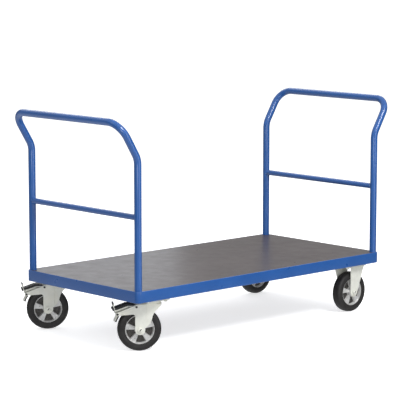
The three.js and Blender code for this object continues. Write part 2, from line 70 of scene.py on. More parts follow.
PAD_FRONT, PAD_LENGTH, PAD_THICKNESS, PAD_HALF = (-56.0, 210.5), 58.0, 11.0, 26.0
PEDAL_SLOPE, LEVER_HALF, SHOE_HALF = math.radians(19.4), 27.0, 22.0

# ------------------------------------------------------------------ node helpers
class Shader:
    """A small builder for one procedural material."""

    def __init__(self, name):
        self.material = bpy.data.materials.new(name)
        self.material.use_nodes = True
        self.tree = self.material.node_tree
        self.bsdf = self.tree.nodes["Principled BSDF"]
        self.place = self.node("ShaderNodeTexCoord").outputs["Object"]

    def node(self, kind, **settings):
        made = self.tree.nodes.new(kind)
        for key, value in settings.items():
            setattr(made, key, value)
        return made

    def link(self, source, target):
        self.tree.links.new(source, target)

    def stretched(self, scale):
        mapping = self.node("ShaderNodeMapping")
        mapping.inputs["Scale"].default_value = scale
        self.link(self.place, mapping.inputs["Vector"])
        return mapping.outputs["Vector"]

    def bands(self, scale, axis, profile, place):
        """Even stripes along one axis."""
        made = self.node("ShaderNodeTexWave", wave_type="BANDS", bands_direction=axis, wave_profile=profile)
        made.inputs["Scale"].default_value = scale
        self.link(place, made.inputs["Vector"])
        return made.outputs["Fac"]

    def work_out(self, operation, *sources):
        made = self.node("ShaderNodeMath", operation=operation)
        for source, socket in zip(sources, made.inputs):
            self.link(source, socket)
        return made.outputs[0]

    def noise(self, scale, detail=4.0, roughness=0.5, stretch=None):
        made = self.node("ShaderNodeTexNoise")
        made.inputs["Scale"].default_value = scale
        made.inputs["Detail"].default_value = detail
        made.inputs["Roughness"].default_value = roughness
        self.link(self.stretched(stretch) if stretch else self.place, made.inputs["Vector"])
        return made.outputs["Fac"]

    def spread(self, source, low, high, to_low=0.0, to_high=1.0):
        """Maps one range of a value to another, held at both ends."""
        made = self.node("ShaderNodeMapRange")
        for key, value in (("From Min", low), ("From Max", high), ("To Min", to_low), ("To Max", to_high)):
            made.inputs[key].default_value = value
        self.link(source, made.inputs["Value"])
        return made.outputs["Result"]

    def blend(self, share, first, second):
        """Mixes two colours, each a triple or a socket, by a share that is a number or a socket."""
        made = self.node("ShaderNodeMix", data_type="RGBA", blend_type="MIX")
        for key, value in ((0, share), (6, first), (7, second)):
            if isinstance(value, bpy.types.NodeSocket):
                self.link(value, made.inputs[key])
            elif key == 0:
                made.inputs[key].default_value = value
            else:
                made.inputs[key].default_value = (*value, 1.0)
        return made.outputs[2]

    def bump(self, height, strength, distance, normal=None):
        made = self.node("ShaderNodeBump")
        made.inputs["Strength"].default_value = strength
        made.inputs["Distance"].default_value = distance
        self.link(height, made.inputs["Height"])
        if normal is not None:
            self.link(normal, made.inputs["Normal"])
        return made.outputs["Normal"]

    def finish(self, color, roughness, normal=None, metallic=0.0, **sockets):
        """Links up the shader. Roughness is a number or a socket."""
        self.link(color, self.bsdf.inputs["Base Color"])
        if isinstance(roughness, bpy.types.NodeSocket):
            self.link(roughness, self.bsdf.inputs["Roughness"])
        else:
            self.bsdf.inputs["Roughness"].default_value = roughness
        if normal is not None:
            self.link(normal, self.bsdf.inputs["Normal"])
        self.bsdf.inputs["Metallic"].default_value = metallic
        for key, value in sockets.items():
            self.bsdf.inputs[key.replace("_", " ")].default_value = value
        return self.material


def powder_coat():
    """Glossy blue paint with a little orange peel."""
    s = Shader("blue_powder_coat")
    cloud = s.spread(s.noise(5.0, 3.0), 0.35, 0.65)
    color = s.blend(cloud, (0.014, 0.092, 0.335), (0.019, 0.107, 0.375))
    rough = s.spread(s.noise(24.0, 5.0), 0.3, 0.7, 0.27, 0.38)
    peel = s.bump(s.noise(420.0, 2.0), 0.10, 0.0004)
    grain = s.bump(s.noise(2600.0, 1.0), 0.05, 0.0001, peel)
    return s.finish(color, rough, grain, Specular_IOR_Level=0.5, Coat_Weight=0.6, Coat_Roughness=0.08)


def wire_mark(s):
    """The fine diamond mesh pressed into the deck's film."""
    wires = []
    for turn in (math.pi / 4, 3 * math.pi / 4):
        turned = s.node("ShaderNodeMapping")
        turned.inputs["Rotation"].default_value = (0.0, 0.0, turn)
        s.link(s.place, turned.inputs["Vector"])
        wires.append(s.bands(95.0, "X", "SIN", turned.outputs["Vector"]))
    return s.work_out("MAXIMUM", *wires)


def plywood():
    """Brown phenolic film on the deck's faces, bare veneers on its cut edge."""
    s = Shader("phenolic_plywood")
    broad = s.spread(s.noise(2.6, 4.0, 0.55, (1.0, 2.4, 1.0)), 0.3, 0.7)
    film = s.blend(broad, (0.058, 0.042, 0.042), (0.082, 0.062, 0.062))
    streak = s.spread(s.noise(26.0, 6.0, 0.65, (0.5, 9.0, 1.0)), 0.5, 0.8, 0.0, 0.35)
    film = s.blend(streak, film, (0.095, 0.075, 0.074))
    scuff = s.spread(s.noise(9.0, 8.0, 0.75), 0.60, 0.72, 0.0, 0.3)
    film = s.blend(scuff, film, (0.115, 0.095, 0.095))
    weave = wire_mark(s)
    film = s.blend(s.spread(weave, 0.75, 1.0, 0.0, 0.2), film, (0.045, 0.036, 0.037))
    glue = s.bands(110.0, "Z", "TRI", s.place)
    veneer = s.blend(s.spread(glue, 0.3, 0.6), (0.20, 0.12, 0.07), (0.46, 0.33, 0.20))
    normal = s.node("ShaderNodeSeparateXYZ")
    s.link(s.node("ShaderNodeNewGeometry").outputs["Normal"], normal.inputs[0])
    level = s.work_out("ABSOLUTE", normal.outputs["Z"])
    color = s.blend(s.spread(level, 0.4, 0.6), veneer, film)
    rough = s.spread(s.noise(14.0, 6.0, 0.6), 0.3, 0.7, 0.27, 0.36)
    relief = s.bump(weave, 0.12, 0.0002)
    grain = s.bump(s.noise(160.0, 4.0), 0.05, 0.0003, relief)
    return s.finish(color, rough, grain, Specular_IOR_Level=0.55)


def zinc():
    """Pale, slightly yellow plating with a few dull spots."""
    s = Shader("zinc_plated_steel")
    cloud = s.spread(s.noise(34.0, 5.0, 0.6), 0.35, 0.65)
    color = s.blend(cloud, (0.78, 0.785, 0.715), (0.85, 0.855, 0.785))
    tint = s.spread(s.noise(13.0, 3.0), 0.45, 0.7, 0.0, 0.4)
    color = s.blend(tint, color, (0.84, 0.81, 0.68))
    spot = s.spread(s.noise(310.0, 5.0, 0.7), 0.66, 0.74, 0.0, 0.35)
    color = s.blend(spot, color, (0.42, 0.42, 0.38))
    rough = s.spread(s.noise(90.0, 5.0), 0.3, 0.7, 0.36, 0.52)
    drawn = s.bump(s.noise(240.0, 4.0, 0.6, (1.0, 1.0, 0.15)), 0.10, 0.0002)
    return s.finish(color, rough, drawn, metallic=0.15)


def die_cast():
    """Bright cast aluminium with a fine grain."""
    s = Shader("die_cast_aluminium")
    cloud = s.spread(s.noise(55.0, 5.0), 0.35, 0.65)
    color = s.blend(cloud, (0.72, 0.72, 0.71), (0.84, 0.835, 0.82))
    rough = s.spread(s.noise(130.0, 5.0), 0.3, 0.7, 0.25, 0.42)
    grain = s.bump(s.noise(700.0, 3.0), 0.18, 0.0002)
    return s.finish(color, rough, grain, metallic=0.45)


def painted_pocket_shade():
    """The rough floors of the wheel centre's pockets, darkened as painted shade in the recesses."""
    s = Shader("cast_pocket_painted_shade")
    mottle = s.spread(s.noise(120.0, 6.0, 0.65), 0.3, 0.7)
    color = s.blend(mottle, (0.035, 0.033, 0.032), (0.12, 0.113, 0.105))
    rough = s.spread(s.noise(90.0, 4.0), 0.3, 0.7, 0.42, 0.6)
    return s.finish(color, rough, s.bump(s.noise(420.0, 4.0), 0.3, 0.0004), metallic=0.5)


def rubber():
    """Black rubber with a trace of dust."""
    s = Shader("black_rubber")
    cloud = s.spread(s.noise(38.0, 6.0, 0.6), 0.35, 0.7)
    color = s.blend(cloud, (0.0115, 0.0105, 0.0105), (0.023, 0.021, 0.0205))
    dust = s.spread(s.noise(170.0, 8.0, 0.7), 0.62, 0.78, 0.0, 0.35)
    color = s.blend(dust, color, (0.06, 0.055, 0.05))
    rough = s.spread(s.noise(60.0, 5.0), 0.3, 0.7, 0.46, 0.66)
    return s.finish(color, rough, s.bump(s.noise(900.0, 3.0), 0.15, 0.0002), Specular_IOR_Level=0.45)


def plastic():
    """Dull black plastic with a moulded grain."""
    s = Shader("black_plastic")
    color = s.blend(s.noise(70.0, 4.0), (0.009, 0.009, 0.010), (0.021, 0.021, 0.023))
    rough = s.spread(s.noise(210.0, 4.0), 0.3, 0.7, 0.42, 0.58)
    return s.finish(color, rough, s.bump(s.noise(1500.0, 2.0), 0.2, 0.0001))


def dark_steel():
    """Blackened steel for the pins, bearings and brake linings; on the pin heads and in the axle head's slot
    it is also painted shade.
    """
    s = Shader("dark_steel")
    color = s.blend(s.noise(90.0, 5.0), (0.06, 0.06, 0.063), (0.12, 0.118, 0.115))
    rough = s.spread(s.noise(150.0, 4.0), 0.3, 0.7, 0.30, 0.45)
    return s.finish(color, rough, s.bump(s.noise(600.0, 3.0), 0.1, 0.0001), metallic=0.9)


BLUE, PLY, ZINC, ALUMINIUM = powder_coat(), plywood(), zinc(), die_cast()
POCKET_SHADE, RUBBER, PLASTIC, DARK_STEEL_AND_HOLE_SHADE = painted_pocket_shade(), rubber(), plastic(), dark_steel()

# ------------------------------------------------------------------ mesh helpers
LOWERED = Matrix.Translation((0, 0, -DECK_HEIGHT))


def arc(cx, cy, radius, start, end, steps):
    """Points on an arc from one angle to another, in degrees."""
    angles = [math.radians(start + (end - start) * i / steps) for i in range(steps + 1)]
    return [(cx + radius * math.cos(a), cy + radius * math.sin(a)) for a in angles]


def lathe(profile, sides):
    """A (radius, height) profile turned round Z. It closes on itself, or on the axis if it starts there."""
    mesh = bmesh.new()
    rings = []
    for radius, height in profile:
        turns = [TAU * i / sides for i in range(sides)] if radius else [0.0]
        spokes = [(radius * math.cos(a), radius * math.sin(a)) for a in turns]
        rings.append([mesh.verts.new((x, y, height)) for x, y in spokes])
    pairs = list(zip(rings, rings[1:]))
    if len(rings[0]) > 1:
        pairs.append((rings[-1], rings[0]))
    for low, high in pairs:
        for i in range(sides):
            j = (i + 1) % sides
            corners = [low[i % len(low)], low[j % len(low)], high[j % len(high)], high[i % len(high)]]
            corners = [v for k, v in enumerate(corners) if v not in corners[:k]]
            if len(corners) > 2:
                mesh.faces.new(corners)
    return mesh


def prism(outline, low, high, holes=()):
    """An outline in (x, y) drawn up from one height to another, with holes through it."""
    mesh = bmesh.new()
    loops = [[mesh.verts.new((x, y, low)) for x, y in loop] for loop in (outline, *holes)]
    if holes:
        edges = [mesh.edges.new((loop[i], loop[i - 1])) for loop in loops for i in range(len(loop))]
        bmesh.ops.triangle_fill(mesh, use_beauty=True, use_dissolve=False, edges=edges)
    else:
        mesh.faces.new(loops[0])
    faces = mesh.faces[:]
    grown = bmesh.ops.extrude_face_region(mesh, geom=faces)
    lifted = [v for v in grown["geom"] if isinstance(v, bmesh.types.BMVert)]
    bmesh.ops.translate(mesh, verts=lifted, vec=(0, 0, high - low))
    bmesh.ops.recalc_face_normals(mesh, faces=mesh.faces)
    return mesh


ON_SIDE = Matrix(((1, 0, 0, 0), (0, 0, 1, 0), (0, 1, 0, 0), (0, 0, 0, 1)))


def side_prism(outline, low, high):
    """An outline in (x, z) drawn out sideways between two values of y."""
    mesh = prism(outline, low, high)
    mesh.transform(ON_SIDE)
    return mesh


def lathe_on_y(profile, sides):
    """A (radius, y) profile turned round Y."""
    mesh = lathe(profile, sides)
    mesh.transform(ON_SIDE)
    return mesh


def new_object(name, mesh, material=None):
    """An object made from a mesh, which is used up."""
    data = bpy.data.meshes.new(name)
    bmesh.ops.recalc_face_normals(mesh, faces=mesh.faces)
    mesh.to_mesh(data)
    mesh.free()
    made = bpy.data.objects.new(name, data)
    bpy.context.scene.collection.objects.link(made)
    if material:
        data.materials.append(material)
    return made


def settle(thing):
    """Applies the object's modifiers to its mesh."""
    graph = bpy.context.evaluated_depsgraph_get()
    data = bpy.data.meshes.new_from_object(thing.evaluated_get(graph))
    old = thing.data
    thing.modifiers.clear()
    thing.data = data
    bpy.data.meshes.remove(old)


def combine(base, other, operation):
    """Joins two closed meshes, or cuts one with the other, and returns the result as a mesh."""
    one, two = new_object("base", base), new_object("tool", other)
    cut = one.modifiers.new("cut", "BOOLEAN")
    cut.operation, cut.object, cut.solver = operation, two, "EXACT"
    settle(one)
    mesh = bmesh.new()
    mesh.from_mesh(one.data)
    for used in (one, two):
        bpy.data.objects.remove(used)
    return mesh


def joined(*meshes):
    """Puts several closed meshes into one, without joining their surfaces."""
    whole = bmesh.new()
    for mesh in meshes:
        data = bpy.data.meshes.new("part")
        mesh.to_mesh(data)
        mesh.free()
        whole.from_mesh(data)
        bpy.data.meshes.remove(data)
    return whole


def soften(thing, width, angle=35.0):
    """Rounds an object's sharp edges and shades it smooth between them."""
    if width:
        bevel = thing.modifiers.new("edges", "BEVEL")
        bevel.width, bevel.segments = width * MM, 2
        bevel.limit_method, bevel.angle_limit = "ANGLE", math.radians(angle)
        bevel.use_clamp_overlap = True
        bevel.harden_normals = False
    thing.data.shade_smooth()
    thing.data.set_sharp_from_angle(angle=math.radians(angle))
    if width:
        weighted = thing.modifiers.new("shading", "WEIGHTED_NORMAL")
        weighted.keep_sharp = True


def dress(node, material, width=0.6):
    """Gives a CAD node a material and soft edges, and leaves its shape alone."""
    node.data.materials.clear()
    node.data.materials.append(material)
    soften(node, width)


def piece(name, mesh, material, body, place=LOWERED, width=0.0, stands_for=(), angle=35.0):
    """A finished piece: its mesh in millimetres, put in place, that rides on a body."""
    mesh.transform(place)
    mesh.transform(Matrix.Scale(MM, 4))
    made = new_object(name, mesh, material)
    soften(made, width, angle)
    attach(made, body)
    if stands_for:
        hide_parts(*stands_for)
    return made


# ------------------------------------------------------------------ camera, floor and light
CAMERA_AZIMUTH, CAMERA_ELEVATION = math.radians(-43.01), math.radians(8.01)
CAMERA_DISTANCE, CAMERA_LENS = 9.425, 174.5
CAMERA_TARGET = Vector((0.0, 0.0532, 0.5818 - DECK_HEIGHT * MM))
LIGHT_TARGET = Vector((0.0, 0.0, 0.2))
FLOOR_GLOW, WORLD_LOW, WORLD_HIGH = 0.64, 0.13, 0.75


def direction(azimuth, elevation):
    """The way from the middle of the cart out to something at that azimuth and elevation, in radians."""
    return Vector((
        math.sin(azimuth) * math.cos(elevation),
        -math.cos(azimuth) * math.cos(elevation),
        math.sin(elevation),
    ))


def make_camera():
    """The view from in front of the swivel end's right-hand corner."""
    back = direction(CAMERA_AZIMUTH, CAMERA_ELEVATION)
    data = bpy.data.cameras.new("camera")
    data.sensor_width, data.lens, data.clip_end = 36.0, CAMERA_LENS, 1000.0
    camera = bpy.data.objects.new("camera", data)
    bpy.context.scene.collection.objects.link(camera)
    camera.location = CAMERA_TARGET + back * CAMERA_DISTANCE
    camera.rotation_mode = "QUATERNION"
    camera.rotation_quaternion = (-back).to_track_quat("-Z", "Y")
    bpy.context.scene.camera = camera


def make_floor():
    """A pale floor that runs up into a pale wall all round, seen only by the camera and by shadows."""
    reach, rise, sides = 60.0, 40.0, 48
    rings = [(0.0, 0.0), (reach, 0.0), (reach + 6.0, 1.5), (reach + 9.0, 6.0), (reach + 10.0, rise)]
    ground = DECK_HEIGHT * MM + 0.0002
    profile = [(radius, height - ground) for radius, height in rings]
    mesh = lathe([*profile, (0.0, rise)], sides)
    s = Shader("floor")
    color = s.blend(s.noise(0.7, 3.0), (0.88, 0.88, 0.88), (0.91, 0.91, 0.91))
    s.bsdf.inputs["Emission Color"].default_value = (1.0, 1.0, 1.0, 1.0)
    s.bsdf.inputs["Emission Strength"].default_value = FLOOR_GLOW
    floor = new_object("floor", mesh, s.finish(color, 0.9, Specular_IOR_Level=0.0))
    floor.data.flip_normals()
    floor.visible_diffuse = floor.visible_glossy = floor.visible_shadow = False


def make_light(name, azimuth, elevation, distance, width, height, power, tint=(1.0, 1.0, 1.0)):
    """A square-cornered soft light that looks at the cart from an azimuth and elevation in degrees."""
    data = bpy.data.lights.new(name, "AREA")
    data.shape, data.size, data.size_y = "RECTANGLE", width, height
    data.energy, data.color = power, tint
    light = bpy.data.objects.new(name, data)
    bpy.context.scene.collection.objects.link(light)
    out = direction(math.radians(azimuth), math.radians(elevation))
    light.location = LIGHT_TARGET + out * distance
    light.rotation_mode = "QUATERNION"
    light.rotation_quaternion = out.to_track_quat("Z", "Y")
    light.visible_camera = False


def make_world():
    """A studio that is dim at the horizon and bright overhead and underfoot."""
    world = bpy.data.worlds.new("studio")
    world.use_nodes = True
    tree = world.node_tree
    place = tree.nodes.new("ShaderNodeTexCoord")
    split = tree.nodes.new("ShaderNodeSeparateXYZ")
    steep = tree.nodes.new("ShaderNodeMath")
    steep.operation = "ABSOLUTE"
    rise = tree.nodes.new("ShaderNodeMapRange")
    rise.inputs["From Min"].default_value, rise.inputs["From Max"].default_value = 0.17, 0.6
    rise.inputs["To Min"].default_value, rise.inputs["To Max"].default_value = WORLD_LOW, WORLD_HIGH
    shade = tree.nodes["Background"]
    shade.inputs["Color"].default_value = (0.97, 0.985, 1.0, 1.0)
    tree.links.new(place.outputs["Generated"], split.inputs[0])
    tree.links.new(split.outputs["Z"], steep.inputs[0])
    tree.links.new(steep.outputs[0], rise.inputs["Value"])
    tree.links.new(rise.outputs["Result"], shade.inputs["Strength"])
    bpy.context.scene.world = world


make_camera()
make_floor()
make_world()
make_light("key", -8.0, 44.0, 5.0, 1.3, 1.3, 132.0)
make_light("front_card", 5.0, 5.0, 4.0, 1.7, 2.5, 34.0)
make_light("left_fill", -95.0, 30.0, 5.0, 1.2, 2.6, 8.0)
make_light("low_fill", -52.0, 3.0, 5.0, 2.6, 1.2, 40.0)
make_light("left_card", -137.0, -5.0, 4.0, 2.6, 2.6, 7.0)
make_light("back_card", 156.0, 9.5, 2.9, 1.6, 0.5, 3.2, (0.88, 0.94, 1.0))
make_light("wide_card", 140.0, 7.0, 6.5, 5.0, 0.9, 4.5)
make_light("overhead_back", 145.0, 38.0, 5.0, 5.0, 1.3, 48.0)
bpy.context.scene.view_settings.view_transform = "Standard"

# ------------------------------------------------------------------ frame and deck
def round_corners(inset, radius=CORNER_RADIUS, steps=12):
    """The cart's outline in plan, drawn that far inside its edge."""
    points = []
    for k in range(4):
        turn = 90 * k
        cx = POST_X if k in (0, 3) else -POST_X
        cy = POST_Y if k in (0, 1) else -POST_Y
        points += arc(cx, cy, radius - inset, turn, turn + 90, steps)
    return points


def rectangle(inset, corner, steps=4):
    """A rectangle inside the cart's outline, with rounded corners."""
    x, y = LENGTH / 2 - inset - corner, WIDTH / 2 - inset - corner
    return [
        *arc(x, y, corner, 0, 90, steps),
        *arc(-x, y, corner, 90, 180, steps),
        *arc(-x, -y, corner, 180, 270, steps),
        *arc(x, -y, corner, 270, 360, steps),
    ]


def loop_mesh(rings):
    """A surface through rings of points that closes both along the rings and round them."""
    mesh = bmesh.new()
    rows = [[mesh.verts.new(p) for p in ring] for ring in rings]
    for k, row in enumerate(rows):
        before = rows[k - 1]
        for i in range(len(row)):
            mesh.faces.new((before[i - 1], before[i], row[i], row[i - 1]))
    bmesh.ops.recalc_face_normals(mesh, faces=mesh.faces)
    return mesh


def frame_band():
    """The frame's outer wall, folded from one sheet and welded round into a band with soft edges."""
    low, high, t = RAIL_BOTTOM, DECK_HEIGHT, RAIL_SHEET
    profile = [(0.0, low + 3.0), (0.25, low + 1.7), (0.9, low + 0.7), (2.0, low + 0.12), (t, low)]
    profile += [(t, high - 0.4), (t - 0.15, high - 0.1)]
    profile += arc(RAIL_EDGE, high - RAIL_EDGE, RAIL_EDGE, 90, 180, 8)
    rings = [[(x, y, z) for x, y in round_corners(inset)] for inset, z in profile]
    return loop_mesh(rings)


frame_nodes = [n for n in NODES if n.startswith(("rail_", "corner_socket_"))]
piece("frame_band", frame_band(), BLUE, "frame", stands_for=frame_nodes)
for name, low in (("frame_bottom_flange", RAIL_BOTTOM), ("frame_deck_ledge", LEDGE_TOP - RAIL_SHEET)):
    flange = prism(round_corners(RAIL_SHEET), low, low + RAIL_SHEET, [rectangle(RAIL_FLANGE, 3.0)])
    piece(name, flange, BLUE, "frame", width=0.5)

CORNERS = [("swivel_right", -1, -1), ("swivel_left", -1, 1), ("fixed_right", 1, -1), ("fixed_left", 1, 1)]
for name, sx, sy in CORNERS:
    at_post = LOWERED @ Matrix.Translation((sx * POST_X, sy * POST_Y, 0))
    low, high, bore = RAIL_BOTTOM + 0.5, DECK_HEIGHT - 0.5, POST_RADIUS + 0.35
    wall = [(bore, low), (SLEEVE_RADIUS, low), (SLEEVE_RADIUS, high - 0.8)]
    wall += [(SLEEVE_RADIUS - 0.3, high - 0.2), (SLEEVE_RADIUS - 0.9, high)]
    wall += [(bore + 0.7, high), (bore, high - 0.7)]
    piece("post_sleeve_" + name, lathe(wall, 56), BLUE, "frame", at_post)
for name, node in NODES.items():
    if name.startswith(("cross_member_", "castor_seat_")):
        dress(node, BLUE, 0.7)


def deck_panel():
    """The plywood deck, notched round the four posts."""
    edge = math.degrees(math.asin((CORNER_RADIUS - RAIL_SHEET - DECK_GAP) / DECK_NOTCH))
    outline = []
    for k, (sx, sy) in enumerate(((-1, -1), (1, -1), (1, 1), (-1, 1))):
        turn = 90 * k
        outline += arc(sx * POST_X, sy * POST_Y, DECK_NOTCH, turn + 90 + edge, turn - edge, 26)
    return prism(outline, DECK_HEIGHT - DECK_THICKNESS, DECK_HEIGHT)


piece("deck_panel", deck_panel(), PLY, "frame", width=0.4, stands_for=["deck_board"])

# ------------------------------------------------------------------ push hoops
def bent_line(corners, bends, steps=14):
    """Points and tangents of a bent tube's centre line: straight runs with a round bend at each corner."""
    towards = [(b - a).normalized() for a, b in zip(corners, corners[1:])]
    points, tangents = [corners[0]], [towards[0]]
    for corner, before, after, radius in zip(corners[1:-1], towards, towards[1:], bends):
        turn = before.angle(after)
        axis = before.cross(after).normalized()
        start = corner - before * (radius * math.tan(turn / 2))
        centre = start + axis.cross(before) * radius
        for i in range(steps + 1):
            spin = Matrix.Rotation(turn * i / steps, 3, axis)
            points.append(centre + spin @ (start - centre))
            tangents.append(spin @ before)
    return [*points, corners[-1]], [*tangents, towards[-1]]


def tube(points, tangents, outer, wall, sides):
    """A tube with its bore, carried along a line without twisting."""
    turns = [TAU * i / sides for i in range(sides)]
    across = tangents[0].orthogonal().normalized()
    inside, outside = [], []
    for k, (point, tangent) in enumerate(zip(points, tangents)):
        if k:
            across = tangents[k - 1].rotation_difference(tangent) @ across
        other = tangent.cross(across)
        spokes = [across * math.cos(a) + other * math.sin(a) for a in turns]
        outside.append([point + spoke * outer for spoke in spokes])
        inside.append([point + spoke * (outer - wall) for spoke in spokes])
    return loop_mesh(outside + inside[::-1])


def saddle(angle, radius):
    """How far the mid bar's end reaches along its axis to meet the post, at that angle round the bar."""
    return math.sqrt(POST_RADIUS ** 2 - (radius * math.cos(angle)) ** 2)


def mid_bar(post):
    """A straight bar whose ends are cut to the posts' roundness."""
    sides, bore = 40, BAR_RADIUS - BAR_WALL
    turns = [TAU * i / sides for i in range(sides)]
    rings = []
    for end, radius in ((-1, BAR_RADIUS), (1, BAR_RADIUS), (1, bore), (-1, bore)):
        spokes = [(radius * math.cos(a), POST_Y - saddle(a, radius), radius * math.sin(a)) for a in turns]
        rings.append([(post + across, end * reach, BAR_HEIGHT + up) for across, reach, up in spokes])
    return loop_mesh(rings)


def weld_bead(post, end):
    """The rippled bead of weld round a mid bar's end."""
    stations, sides = 144, 10
    rings = []
    for k in range(stations):
        angle = TAU * k / stations
        size = 1.7 + 0.22 * math.sin(24 * angle) + 0.12 * math.sin(7 * angle + end)
        reach = POST_Y - saddle(angle, BAR_RADIUS) - 0.6
        ring = []
        for i in range(sides):
            around = TAU * i / sides
            radius = BAR_RADIUS + 0.2 + size * math.cos(around)
            ring.append((
                post + radius * math.cos(angle),
                end * (reach + size * math.sin(around)),
                BAR_HEIGHT + radius * math.sin(angle),
            ))
        rings.append(ring)
    return loop_mesh(rings)


for end, sx in (("swivel_end", -1), ("fixed_end", 1)):
    post, bar = sx * POST_X, sx * (POST_X + LEAN)
    foot = RAIL_BOTTOM + RAIL_SHEET + 0.3
    heights = ((post, foot), (post, KINK_HEIGHT), (bar, TOP_HEIGHT))
    up = [Vector((x, -POST_Y, z)) for x, z in heights]
    down = [Vector((x, POST_Y, z)) for x, z in reversed(heights)]
    line = bent_line(up + down, [KINK_BEND, CORNER_BEND, CORNER_BEND, KINK_BEND])
    body = "push_hoop_" + end
    hoop = tube(*line, POST_RADIUS, POST_WALL, 48)
    piece("push_hoop_tube_" + end, hoop, BLUE, body, stands_for=["hoop_" + end])
    piece("push_hoop_bar_" + end, mid_bar(post), BLUE, body, stands_for=["mid_bar_" + end])
    beads = joined(weld_bead(post, -1), weld_bead(post, 1))
    piece("push_hoop_welds_" + end, beads, BLUE, body)

# ------------------------------------------------------------------ fasteners
def washer(inner, outer, low, high):
    """A washer's profile, with a small chamfer on its outer edges."""
    edge = outer - 0.3
    return [(inner, low), (edge, low), (outer, low + 0.3), (outer, high - 0.3), (edge, high), (inner, high)]


def hex_head(across, low, high):
    """A hexagon whose corners are chamfered by a cone, drawn up from low to high."""
    corner = across / math.sqrt(3)
    hexagon = arc(0, 0, corner, 0, 360, 6)[:-1]
    shoulder = high - 0.28 * (high - low)
    cone = [(0, low - 1), (corner + 1, low - 1), (corner + 1, shoulder)]
    cone += [(corner * 0.84, high + 0.01), (0, high + 0.01)]
    return combine(prism(hexagon, low, high), lathe(cone, 48), "INTERSECT")


def plate_bolts(name, body, cx, cy):
    """The four mounting bolts under a castor's plate, each with its washer."""
    parts = []
    for x, y in PLATE_SLOTS:
        spot = Matrix.Translation((cx + x, cy + y, PLATE_BOTTOM))
        turned_down = spot @ Matrix.Rotation(math.pi, 4, "X")
        for part in (lathe(washer(5.2, 9.6, 0.05, 1.9), 40), hex_head(15.0, 1.9, 8.1)):
            part.transform(turned_down)
            parts.append(part)
    piece("plate_bolts_" + name, joined(*parts), ZINC, body)


# ------------------------------------------------------------------ wheels
def mirrored(profile):
    """Half a (radius, y) profile, followed by its mirror image on the other side of the wheel."""
    return [(r, -y) for r, y in profile] + [(r, y) for r, y in reversed(profile)]


def second_material(mesh, chosen):
    """Gives the second material to the faces whose middle passes a test."""
    for face in mesh.faces:
        if chosen(face.calc_center_median()):
            face.material_index = 1


def tyre_profile():
    """A tyre with a rounded shoulder, a rib on its wall and a groove beside its tread."""
    half = [
        (RIM_RADIUS + 0.3, 21.2), (66.8, 21.2), (67.0, 22.0), (69.0, 23.1), (73.0, 24.0), (77.0, 24.5),
        (80.6, 24.6), (81.2, 25.0),
        (82.8, 25.0), (83.4, 24.6), (87.5, 24.3), (91.0, 23.4), (94.0, 21.9), (96.3, 19.8), (97.8, 17.4),
        (98.7, 14.9), (98.9, 14.3), (98.0, 13.9), (98.0, 13.0), (99.1, 12.6), (99.6, 8.5), (99.95, 4.0),
    ]
    return mirrored(half)


def spoke_outline(middle, foot, head):
    """A spoke in side view, from the hub to the rim, about one angle in degrees."""
    inner = arc(0, 0, 19.0, middle + foot, middle - foot, 8)
    return inner + arc(0, 0, 63.8, middle - head, middle + head, 16)


def rim_mesh():
    """A die-cast centre: a drafted dish with five raised wedge spokes on each face."""
    lip = RIM_RADIUS - 5.2
    half = [
        (12.6, 27.0), (20.6, 27.0), (21.8, 26.2), (22.4, 22.0), (24.5, 8.2), (26.0, 7.0),
        (58.5, 5.6), (60.5, 6.6), (62.6, 12.0), (lip - 0.3, 20.2), (lip + 0.4, 21.0),
        (RIM_RADIUS - 0.5, 21.0), (RIM_RADIUS, 20.5),
    ]
    body = lathe_on_y(mirrored(half), 120)
    for k in range(5):
        middle = 95 + 72 * k
        foot, top = spoke_outline(middle, 19.5, 15.0), spoke_outline(middle, 16.0, 12.8)
        body = combine(body, wedge(foot, top, 17.0), "UNION")
    # The pocket floors get the second material: painted shade that darkens the recesses.
    second_material(body, lambda spot: abs(spot.y) < 9 and 23 < math.hypot(spot.x, spot.z) < 62)
    return body


def wedge(foot, top, half):
    """A spoke, widest in the middle of the wheel's thickness and drafted towards both of its faces."""
    mesh = bmesh.new()
    rings = []
    for outline, y in ((top, -half), (foot, -4.0), (foot, 4.0), (top, half)):
        rings.append([mesh.verts.new((x, y, z)) for x, z in outline])
    for a, b in zip(rings, rings[1:]):
        for i in range(len(a)):
            mesh.faces.new((a[i - 1], a[i], b[i], b[i - 1]))
    mesh.faces.new(rings[0])
    mesh.faces.new(rings[-1])
    bmesh.ops.recalc_face_normals(mesh, faces=mesh.faces)
    return mesh


def kept(mesh, name):
    """Stores a mesh that several pieces are copied from."""
    data = bpy.data.meshes.new(name)
    mesh.to_mesh(data)
    mesh.free()
    return data


def copy_of(data):
    """A fresh copy of a stored mesh."""
    mesh = bmesh.new()
    mesh.from_mesh(data)
    return mesh


RIM = kept(rim_mesh(), "rim")


def bearing_mesh():
    """The bearing's sleeve, its seals and the spacer washers against the fork."""
    half = [(6.6, 30.4), (10.4, 30.4), (10.8, 30.0), (10.8, 28.2), (12.2, 28.0), (12.2, 24.0)]
    return lathe_on_y(mirrored(half), 48)


